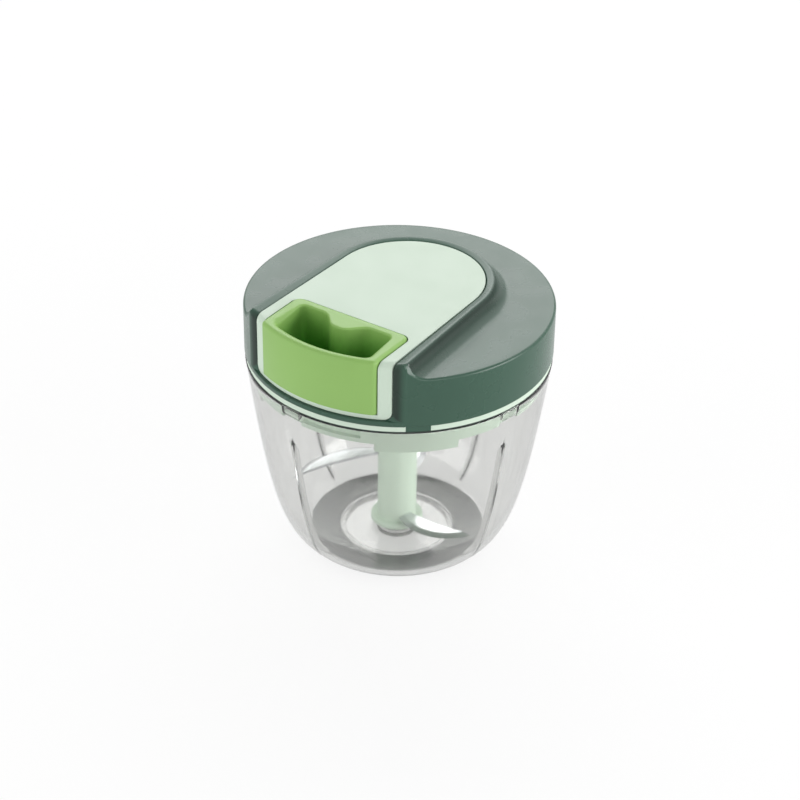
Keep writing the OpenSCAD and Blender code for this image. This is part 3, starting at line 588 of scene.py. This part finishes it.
def ridge_section():
    """(distance from the panel's middle, height) from the ridge's crest to the cover's flat top."""
    round_at = (RIDGE_HALF + RIDGE_OUT - RIDGE_ROUND, RIDGE_Z - RIDGE_ROUND)
    points = arc(round_at, RIDGE_ROUND, 90, RIDGE_DRAFT, ROUND_STEPS)
    start = degrees(asin((cove.y - RIDGE_Z + RIDGE_ROUND + COVE_START) / COVE_R))
    end = degrees(asin((COVE_R - COVE_SINK) / COVE_R))
    for i in range(COVE_STEPS + 1):
        b = radians(start + (end - start) * i / COVE_STEPS)
        points.append((cove.x - COVE_R * cos(b), cove.y - COVE_R * sin(b)))
    cove_end = points[-1][0]
    return points + [(cove_end + run, COVER_TOP) for run in COVE_RUN]


RIDGE = ridge_section()


def distance(p):
    """Distance of a plan point from the panel's middle line, the ridge's own measure."""
    local = Vector((abs(p.x), p.y - ROUND_Y))
    if local.y >= local.x * tan(FLARE):
        return local.length
    return local.x * cos(FLARE) + local.y * sin(FLARE)


def surface(p):
    """Height of the cover's top at a plan point."""
    d = distance(p)
    if d <= RIDGE[0][0]:
        inward = RIDGE[0][0] - d
        return RIDGE_Z - CREST_SLOPE * (sqrt(inward ** 2 + CREST_ROUND ** 2) - CREST_ROUND)
    for (d0, z0), (d1, z1) in zip(RIDGE, RIDGE[1:]):
        if d <= d1:
            return z0 + (z1 - z0) * (d - d0) / (d1 - d0)
    return COVER_TOP


def cove_shade(p):
    """Share of painted shade on the cover's top at a plan point: 1 at the ridge's foot, 0 on the
    ridge and where the cove ends.
    """
    d = distance(p)
    top, foot, end = (RIDGE[k][0] for k in (0, ROUND_STEPS + 1, ROUND_STEPS + 1 + COVE_STEPS))
    return min(max((d - top) / (foot - top), 0), max((end - d) / (end - foot), 0), 1)


def on_circle(radius, angle):
    """Plan point on a circle about the axis, angle in radians."""
    return Vector((radius * cos(angle), radius * sin(angle)))


cheek_reach = COVER_R - CHEEK_R
cheek_turn = asin(FRONT_OPEN / PANEL_R) - pi / 2
cheek_turn += acos((PANEL_R ** 2 + cheek_reach ** 2 - CHEEK_R ** 2) / (2 * PANEL_R * cheek_reach))
cheek_centre = on_circle(cheek_reach, cheek_turn)
cheek_tip = Vector((FRONT_OPEN, -sqrt(PANEL_R ** 2 - FRONT_OPEN ** 2))) - cheek_centre
cheek_from = atan2(cheek_tip.y, cheek_tip.x)


def cheek(t, inset=0.0):
    """Plan point of the wall that rolls in beside the panel: 0 at the panel, 1 on the round wall.
    inset moves the path in, to the ridge's front end."""
    p = cheek_centre + on_circle(CHEEK_R, cheek_from + (cheek_turn - cheek_from) * t)
    way = Vector((0, 1)).lerp((cheek_centre - p).normalized(), t)
    return p + way * inset * (1 - t ** 3)


def section_places(path):
    """Shares of a section's length at which its top has points, the edge's start and the length."""
    inner, outer = path(0), path(1)
    d0, d1 = distance(inner), distance(outer)
    crest, flat = RIDGE[0][0], RIDGE[-1][0]
    run = [d0 + d for d, _ in LIP_PROFILE]
    run += [run[-1] + (crest - run[-1]) * i / TOP_STEPS for i in range(1, TOP_STEPS)]
    run += [d for d, _ in RIDGE]
    run += [flat + (d1 - COVER_EDGE - flat) * i / FLAT_STEPS for i in range(1, FLAT_STEPS + 1)]
    length = (outer - inner).length
    edge_t = 1 - min(COVER_EDGE / length, EDGE_MOST)
    places = [min(max((d - d0) / (d1 - d0), 0), edge_t) for d in run]
    turns = [pi / 2 * k / EDGE_STEPS for k in range(1, EDGE_STEPS + 1)]
    places += [edge_t + (1 - edge_t) * sin(a) for a in turns]
    return places, edge_t, length


def cover_section(path):
    """Points of the cover's closed section along a plan path from the opening to the wall."""
    places, edge_t, length = section_places(path)
    edge = (1 - edge_t) * length
    rim, start = surface(path(1)), surface(path(edge_t))
    points = []
    for k, t in enumerate(places):
        lip = LIP_PROFILE[k][1] if k < len(LIP_PROFILE) else 0
        z = surface(path(t)) - lip
        if t > edge_t:
            a = asin((t - edge_t) / (1 - edge_t))
            z = start + (rim - start) * sin(a) - edge * (1 - cos(a))
        # The fourth value of each point is its share of painted shade
        points.append((*path(t), z, cove_shade(path(t)) if t <= edge_t else 0))
    wall_top, wall_in = COVER_TOP - COVER_T, 1 - COVER_T / length
    foot = [(1, COVER_Z + WALL_FOOT), (1 - WALL_FOOT / length, COVER_Z)]
    foot += [(wall_in, COVER_Z), (wall_in, wall_top), (0, wall_top)]
    return points + [(*path(t), z, 0) for t, z in foot]


def side_path(inner, outer, share):
    """A straight plan path, or by a share the bent one at the ridge's front end."""
    first, last = cheek(0, RIDGE_FRONT), cheek(1)

    def path(t):
        return inner.lerp(outer, t) + share * (cheek(t, RIDGE_FRONT) - first.lerp(last, t))

    return path


def side_sections():
    """Sections of the right half, from the ridge's front end to the back."""
    way = Vector((cos(FLARE), sin(FLARE)))
    centre = Vector((0, ROUND_Y))

    def reach(way):
        across = centre.dot(way)
        return centre + way * (sqrt(across ** 2 - centre.length_squared + COVER_R ** 2) - across)

    first = cheek(0, RIDGE_FRONT).y
    last = ROUND_Y + OPENING * sin(FLARE)
    end = reach(way)
    to_angle = atan2(end.y, end.x)
    sections = []
    for i in range(SIDE_STEPS):
        u = (i / SIDE_STEPS) ** SIDE_SPACING
        y = first + (last - first) * u
        inner = Vector(((OPENING + (ROUND_Y - y) * sin(PANEL_FLARE)) / cos(PANEL_FLARE), y))
        outer = on_circle(COVER_R, cheek_turn + (to_angle - cheek_turn) * u ** WALL_SPACING)
        sections.append(cover_section(side_path(inner, outer, 1 - ease(u, 0, FRONT_SHARE))))
    for i in range(BACK_STEPS + 1):
        a = FLARE + (pi / 2 - FLARE) * i / BACK_STEPS
        way = Vector((cos(a), sin(a)))
        sections.append(cover_section(side_path(centre + way * OPENING, reach(way), 0)))
    return sections


def cheek_shade(t):
    """How much painted shade the rolled-in wall beside the panel takes at a place."""
    return 1 - ease(t, *CHEEK_SHADE)


def end_sections(first):
    """The rounding of the ridge's front end, from the upright cheek to the first side section."""
    places = section_places(lambda t: cheek(t, RIDGE_FRONT))[0]
    sections = []
    for j in range(FRONT_END_STEPS):
        a = pi / 2 * j / FRONT_END_STEPS
        points = []
        for t, (_, _, z, shade_weight) in zip(places, first):
            p = cheek(t, RIDGE_FRONT * (1 - cos(a)))
            drop = RIDGE_FRONT * (1 - sin(a)) * (1 - t ** 3)
            # Painted shade of the cheek, turning into the side section's
            points.append((p.x, p.y, z - drop, cheek_shade(t) * cos(a) + shade_weight * sin(a)))
        sections.append(points + first[len(places):])
    return sections


def sill_sections():
    """Sections below the panel's front, from the middle to the right cheek."""
    places = section_places(lambda t: cheek(t, RIDGE_FRONT))[0]
    sections = []
    for i in range(SILL_STEPS + 1):
        u = i / SILL_STEPS
        outer = on_circle(COVER_R, -pi / 2 + (cheek_turn + pi / 2) * u)
        inner = on_circle(COVER_R - COVER_T, -pi / 2 + asin(FRONT_OPEN / COVER_R) * u)
        inner = inner.lerp(cheek(0), ease(u, SILL_MEET, 1))
        bend = ease(u, SILL_BEND, 1)
        inset = max(inner.x - FRONT_OPEN + SILL_CORNER, 0)
        rise = SILL_CORNER - sqrt(max(SILL_CORNER ** 2 - inset ** 2, 0))
        length = (outer - inner).length
        points = []
        for t in places:
            p = inner.lerp(outer, t) + bend * (cheek(t) - cheek(0).lerp(cheek(1), t))
            edge = max(0, (t - 1 + SILL_EDGE) / SILL_EDGE)
            z = SILL_Z + rise * (1 - t) ** 2 - WALL_FOOT * edge ** 2
            # Only the last sill section, at the cheek, takes painted shade
            points.append((p.x, p.y, z, cheek_shade(t) if i == SILL_STEPS else 0))
        foot = [(1, COVER_Z + WALL_FOOT), (1 - WALL_FOOT / length, COVER_Z)]
        foot += [(0, COVER_Z), (0, SILL_Z), (0, SILL_Z + rise)]
        points += [(*inner.lerp(outer, t), z, 0) for t, z in foot]
        sections.append(points)
    return sections


def mirrored(sections):
    """The left half's sections, in the order that goes on round the cover."""
    return [[(-x, y, z, w) for x, y, z, w in section] for section in reversed(sections)]


def block(bm, start, end, inner, outer, low, high):
    """A closed piece of a ring between two angles."""
    corners = [(inner, low), (outer, low), (outer, high), (inner, high)]
    turn = [radians(start + (end - start) * k / KEY_STEPS) for k in range(KEY_STEPS + 1)]
    rows = loft(bm, [[(r * cos(a), r * sin(a), z) for r, z in corners] for a in turn])
    close_ends(bm, rows)


KEYS, KEY_TURN, KEY_HALF, KEY_IN, KEY_OUT = 4, 41, 4.4, 60.9, 62.2
side = side_sections()
front = sill_sections() + end_sections(side[0])
around = side + mirrored(side[:-1]) + mirrored(front) + front[1:]
bm = bmesh.new()
painted_shade = bm.verts.layers.float.new(PAINTED_SHADE)
rows = loft(bm, [[p[:3] for p in section] for section in around], close_loft=True)
# Each vertex keeps its share of painted shade in the layer
for row, section in zip(rows, around):
    for vert, p in zip(row, section):
        vert[painted_shade] = p[3]
for k in range(KEYS):
    turn = KEY_TURN + 360 * k / KEYS
    block(bm, turn - KEY_HALF, turn + KEY_HALF, KEY_IN, KEY_OUT, cover_low.z, COVER_Z + WALL_FOOT)
piece("cover_shell", bm, "lid_cover", COVER_SHARP)


# Handle

handle_low, handle_high = size("pull_handle")
HANDLE_HALF = handle_high.x
HANDLE_BACK = handle_high.y
HANDLE_R = -handle_low.y
HANDLE_CORNER, FRONT_CORNER, HANDLE_ROUND, HANDLE_FOOT = 3.5, 2.0, 1.6, 0.6
WELL_SIDE, WELL_FRONT, WELL_REAR, WELL_FLOOR = 5.2, 4.6, 4.1, 3.0
WELL_LIP, FRONT_LIP, FRONT_LIP_FROM, WELL_FILLET = 0.9, 2.9, (43, 53), 1.6
LOBE_L, LOBE_W, LOBE_ROUND, WELL_CORNER = 6.6, 9.5, 6.0, 2.5
CORNER_STEPS, FRONT_STEPS = 10, 15
HANDLE_FOOT_STEPS, HANDLE_ROUND_STEPS, LIP_STEPS, FILLET_STEPS = 4, 7, 8, 6


def fillet(a, b, c, radius):
    """Points of the rounded corner b between a and c."""
    u, v = (a - b).normalized(), (c - b).normalized()
    half = acos(max(-1, min(1, u.dot(v)))) / 2
    centre = b + (u + v).normalized() * radius / sin(half)
    p, q = b + u * radius / tan(half) - centre, b + v * radius / tan(half) - centre
    start = atan2(p.y, p.x)
    turn = (atan2(q.y, q.x) - start + 3 * pi) % (2 * pi) - pi
    angles = [start + turn * i / CORNER_STEPS for i in range(CORNER_STEPS + 1)]
    return [centre + radius * Vector((cos(angle), sin(angle))) for angle in angles]


def outline(corners):
    """Closed plan outline of (point, radius) corners."""
    points = []
    count = len(corners)
    for i, (p, radius) in enumerate(corners):
        if radius == 0:
            points.append(p)
        else:
            points += fillet(corners[i - 1][0], p, corners[(i + 1) % count][0], radius)
    return points


def front_corners(radius, half, corner_r):
    """Corners of a curved front: rounded at both ends, with no point close to them."""
    reach = asin(half / radius)
    turns = [reach * i / FRONT_STEPS for i in range(-FRONT_STEPS, FRONT_STEPS + 1)]
    points = [Vector((radius * sin(a), -radius * cos(a))) for a in turns]
    middle = [(p, 0) for p in points[2:-2]]
    return [(points[0], corner_r)] + middle + [(points[-1], corner_r)]


def grown(points, by):
    """A closed outline moved outwards by a distance."""
    area = sum(a.x * b.y - b.x * a.y for a, b in zip(points, points[1:] + points[:1]))
    hand = 1 if area > 0 else -1
    moved = []
    for i, p in enumerate(points):
        way = points[(i + 1) % len(points)] - points[i - 1]
        moved.append(p + hand * by * Vector((way.y, -way.x)).normalized())
    return moved


def ring_at(points, z):
    return [(p.x, p.y, z) for p in points]


def fill(bm, *rows):
    """A flat face between closed rows of vertices."""
    edges = []
    for row in rows:
        for a, b in zip(row, row[1:] + row[:1]):
            edges.append(bm.edges.get((a, b)) or bm.edges.new((a, b)))
    bmesh.ops.triangle_fill(bm, use_beauty=True, use_dissolve=False, edges=edges)


def prism(points, low, high):
    """A closed block over a plan outline."""
    bm = bmesh.new()
    close_ends(bm, loft(bm, [ring_at(points, low), ring_at(points, high)]))
    return bm


back_corners = [(Vector((x, HANDLE_BACK)), HANDLE_CORNER) for x in (HANDLE_HALF, -HANDLE_HALF)]
handle_plan = outline(front_corners(HANDLE_R, HANDLE_HALF, FRONT_CORNER) + back_corners)
well_half = HANDLE_HALF - WELL_SIDE
well_back = HANDLE_BACK - WELL_REAR
lobe_half, lobe_y = LOBE_W / 3, well_back - LOBE_L
lobe = ((LOBE_W, well_back), (lobe_half, lobe_y), (-lobe_half, lobe_y), (-LOBE_W, well_back))
well_corners = [(Vector((well_half, well_back)), WELL_CORNER)]
well_corners += [(Vector(p), LOBE_ROUND) for p in lobe]
well_corners.append((Vector((-well_half, well_back)), WELL_CORNER))
well_plan = outline(front_corners(HANDLE_R - WELL_FRONT, well_half, WELL_CORNER) + well_corners)
well_z = handle_low.z + WELL_FLOOR

bm = bmesh.new()
outer_rings = [ring_at(grown(handle_plan, x - HANDLE_FOOT), handle_low.z + HANDLE_FOOT + z)
               for x, z in arc((0, 0), HANDLE_FOOT, -90, 0, HANDLE_FOOT_STEPS)]
outer_rings += [ring_at(grown(handle_plan, x - HANDLE_ROUND), handle_high.z - HANDLE_ROUND + z)
                for x, z in arc((0, 0), HANDLE_ROUND, 0, 90, HANDLE_ROUND_STEPS)]
well_ways = [q - p for p, q in zip(well_plan, grown(well_plan, 1))]
well_lips = [WELL_LIP + (FRONT_LIP - WELL_LIP) * ease(-p.y, *FRONT_LIP_FROM) for p in well_plan]
well_rings = [[(*(p + way * lip * (1 - x)), handle_high.z - lip * (1 - z))
               for p, way, lip in zip(well_plan, well_ways, well_lips)]
              for x, z in arc((0, 0), 1, 90, 0, LIP_STEPS)]
well_rings += [ring_at(grown(well_plan, x - WELL_FILLET), well_z + WELL_FILLET + z)
               for x, z in arc((0, 0), WELL_FILLET, 0, -90, FILLET_STEPS)]
painted_shade = bm.verts.layers.float.new(PAINTED_SHADE)
outer_rows = loft(bm, outer_rings)
well_rows = loft(bm, well_rings)
# Painted shade: the well's walls and floor below the lip are darkened, richer and turned in hue
for row in well_rows[LIP_STEPS + 1:]:
    for vert in row:
        vert[painted_shade] = 1.0
fill(bm, outer_rows[0])
fill(bm, outer_rows[-1], well_rows[0])
fill(bm, well_rows[-1])
NIPPLE_Y = size("cord_end")[0].y
NIPPLE_HOLE, NIPPLE_TOP, SLOT_HALF, SLOT_TOP = 2.3, 110.85, 1.1, 109.45
HOLE_SIDES, CUT_PAST = 60, 1
hole = arc((0, 0), NIPPLE_HOLE, 0, 360 - 360 / HOLE_SIDES, HOLE_SIDES - 1)
hole_plan = [Vector((x, NIPPLE_Y + y)) for x, y in hole]
slot_end = HANDLE_BACK + CUT_PAST
slot_plan = [Vector(p) for p in ((-SLOT_HALF, NIPPLE_Y), (SLOT_HALF, NIPPLE_Y),
                                 (SLOT_HALF, slot_end), (-SLOT_HALF, slot_end))]
cut_low = handle_low.z - CUT_PAST
cuts = [prism(hole_plan, cut_low, NIPPLE_TOP), prism(slot_plan, cut_low, SLOT_TOP)]
piece("finger_handle", bm, "pull_handle", ROUND_SHARP, cuts)


# Cord: turns on the drum and the lead to the eyelet

CORD_R, CORD_SIDES = 0.9, 14
DRUM_R, DRUM_Z, DRUM_H, WIND_LIFT, CORD_GAP = 15, 97.9, 11.6, 0.15, 0.5
WIND_R = DRUM_R + CORD_R + WIND_LIFT
WIND_STEPS, LEAD_STEPS, BEND_STEPS = 200, 10, 4
wind_margin = CORD_R + CORD_GAP / 2
wind_pitch = 2 * CORD_R + CORD_GAP
wind_turns = (DRUM_H - 2 * wind_margin) / wind_pitch
end_low, end_high = size("cord_end")
CORD_Z = DRUM_Z + DRUM_H - wind_margin
BEND_Y = -27.8
lead_turn = acos(WIND_R / -BEND_Y) - pi / 2
STRAND_PITCH = 2 * pi * CORD_R


def tube(name, node, path, along):
    """A cord through path, with a UV map in strand widths: along gives each point's length."""
    bm = bmesh.new()
    rings = []
    for i, p in enumerate(path):
        way = (path[min(i + 1, len(path) - 1)] - path[max(i - 1, 0)]).normalized()
        side = way.cross(Vector((0, 0, 1))).normalized()
        top = side.cross(way)
        ring = [2 * pi * k / CORD_SIDES for k in range(CORD_SIDES)]
        rings.append([p + CORD_R * (cos(a) * side + sin(a) * top) for a in ring])
    rows = loft(bm, rings)
    uv = bm.loops.layers.uv.new("UVMap")
    place = {v: (i, k) for i, row in enumerate(rows) for k, v in enumerate(row)}
    for face in bm.faces:
        ks = [place[loop.vert][1] for loop in face.loops]
        for loop in face.loops:
            i, k = place[loop.vert]
            if k == 0 and CORD_SIDES - 1 in ks:
                k = CORD_SIDES
            loop[uv].uv = (CORD_TWIST * k / CORD_SIDES, CORD_TWIST * along[i] / STRAND_PITCH)
    close_ends(bm, rows)
    return piece(name, bm, node)


def lengths(path):
    """Length along a path at each of its points."""
    total, out = 0.0, [0.0]
    for a, b in zip(path, path[1:]):
        total += (b - a).length
        out.append(total)
    return out


def around_drum(turn, z):
    return Vector((WIND_R * cos(turn), WIND_R * sin(turn), z))


def tangent(turn):
    """The way the cord runs off the drum."""
    return Vector((sin(turn), -cos(turn), 0))


winding = [around_drum(lead_turn + 2 * pi * wind_turns * (1 - i / WIND_STEPS),
                       DRUM_Z + wind_margin + wind_pitch * wind_turns * i / WIND_STEPS)
           for i in range(WIND_STEPS + 1)]
winding = [winding[0] - 2 * CORD_R * tangent(lead_turn + 2 * pi * wind_turns)] + winding
winding.append(winding[-1] + 2 * CORD_R * tangent(lead_turn))
tube("cord_turns", "cord_winding", winding, lengths(winding))

bend = Vector((0, BEND_Y, CORD_Z))
split = Vector((0, end_high.y, CORD_Z))
lead = [winding[-1].lerp(bend, i / LEAD_STEPS) for i in range(LEAD_STEPS)]
lead += [bend.lerp(split, i / BEND_STEPS) for i in range(BEND_STEPS + 1)]
tube("cord_run", "cord_lead", lead, lengths(lead))


# Other moulded pieces, with their edges rounded

MOULD_EDGES = {"lid_base": 0.3, "top_panel": 0.35, "blade_stem": 0.5}
for node, edge in MOULD_EDGES.items():
    rounded_copy(node, edge)


# Stage

def lamp(name, place, width, height, power, reflected=True):
    """A soft box that faces the object; sizes in metres, power in watts."""
    light = bpy.data.lights.new(name, "AREA")
    light.shape = "RECTANGLE"
    light.size, light.size_y = width, height
    light.energy = power
    item = bpy.data.objects.new(name, light)
    item.location = place
    item.rotation_euler = (AIM - Vector(place)).to_track_quat("-Z", "Y").to_euler()
    item.visible_glossy = reflected
    bpy.context.collection.objects.link(item)


lamp("back_box", (-0.75, 1.04, 1.08), 1.5, 1.0, 15.5)
lamp("back_fill", (0.3, 1.15, 1.14), 1.1, 0.9, 4)
lamp("side_box", (1.3, 0.35, 0.4), 0.9, 0.7, 14)
lamp("edge_box", (1.2, -0.66, 0.8), 0.5, 0.35, 2.4)
lamp("front_box", (-0.75, -1.3, 0.55), 1.6, 1.1, 15, reflected=False)


def white_seen(tree, seen, lit):
    """One shader for the rays that see it, and another for the light that it gives."""
    path = tree.nodes.new("ShaderNodeLightPath")
    sees = path.outputs["Is Camera Ray"]
    for ray in ("Is Glossy Ray", "Is Transmission Ray"):
        either = tree.nodes.new("ShaderNodeMath")
        either.operation = "MAXIMUM"
        tree.links.new(sees, either.inputs[0])
        tree.links.new(path.outputs[ray], either.inputs[1])
        sees = either.outputs["Value"]
    mix = tree.nodes.new("ShaderNodeMixShader")
    tree.links.new(sees, mix.inputs["Fac"])
    tree.links.new(lit, mix.inputs[1])
    tree.links.new(seen, mix.inputs[2])
    return mix.outputs["Shader"]


WHITE = (1, 1, 1, 1)
WORLD_LIGHT, WORLD_SEEN = 0.31, 1.0
world = bpy.data.worlds.new("studio")
bpy.context.scene.world = world
world.use_nodes = True
tree = world.node_tree
soft = tree.nodes["Background"]
soft.inputs["Color"].default_value = WHITE
soft.inputs["Strength"].default_value = WORLD_LIGHT
white = tree.nodes.new("ShaderNodeBackground")
white.inputs["Color"].default_value = WHITE
white.inputs["Strength"].default_value = WORLD_SEEN
tree.links.new(white_seen(tree, white.outputs["Background"], soft.outputs["Background"]),
               tree.nodes["World Output"].inputs["Surface"])

FLOOR_HALF, FLOOR_DROP, FLOOR_COLOUR = 4.0, 0.05, (0.9, 0.9, 0.9, 1)
FADE_NEAR, FADE_FAR, WHITE_NEAR, WHITE_FAR = 0.3, 1.0, 0.86, 1.0
bm = bmesh.new()
bmesh.ops.create_grid(bm, x_segments=1, y_segments=1, size=FLOOR_HALF)
floor_mesh = bpy.data.meshes.new("floor")
bm.to_mesh(floor_mesh)
bm.free()
floor = bpy.data.objects.new("floor", floor_mesh)
floor.location.z = -FLOOR_DROP * MM
bpy.context.collection.objects.link(floor)
# Near the object a part of the floor's light is its own white and the rest takes the shadow
s = Shader("floor_white")
s.set(Base_Color=FLOOR_COLOUR, Roughness=0.9, Specular_IOR_Level=0.0)
lit = s.principled.outputs["BSDF"]
glow = s.node("Emission", Color=WHITE, Strength=1.0)
reach = s.node("VectorMath", operation="LENGTH")
s.link(s.node("TexCoord").outputs["Object"], reach.inputs[0])
fade = s.node("MapRange", From_Min=FADE_NEAR, From_Max=FADE_FAR,
              To_Min=WHITE_NEAR, To_Max=WHITE_FAR)
s.link(reach.outputs["Value"], fade.inputs["Value"])
part = s.node("MixShader")
s.link(fade.outputs["Result"], part.inputs["Fac"])
s.link(lit, part.inputs[1])
s.link(glow.outputs["Emission"], part.inputs[2])
s.link(white_seen(s.tree, part.outputs["Shader"], lit), s.output.inputs["Surface"])
floor_mesh.materials.append(s.material)


# Cord's end, which is drawn out from the eyelet with the handle

DRAWN_LENGTH, DRAWN_STEPS = 400.0, 160
nipple = Vector((0, end_low.y, CORD_Z))


def drawn_share(w):
    """Where along the end a share w of its draw is reached, the inverse of a smooth step."""
    return 0.5 - sin(asin(1 - 2 * w) / 3)


end_path = [split.lerp(nipple, drawn_share(i / DRAWN_STEPS)) for i in range(DRAWN_STEPS + 1)]
end_along = [DRAWN_LENGTH * i / DRAWN_STEPS for i in range(DRAWN_STEPS + 1)]
end = tube("cord_drawn", "cord_end", end_path, end_along)
end.parent = None
end.matrix_world = Matrix.Identity(4)
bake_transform(end)
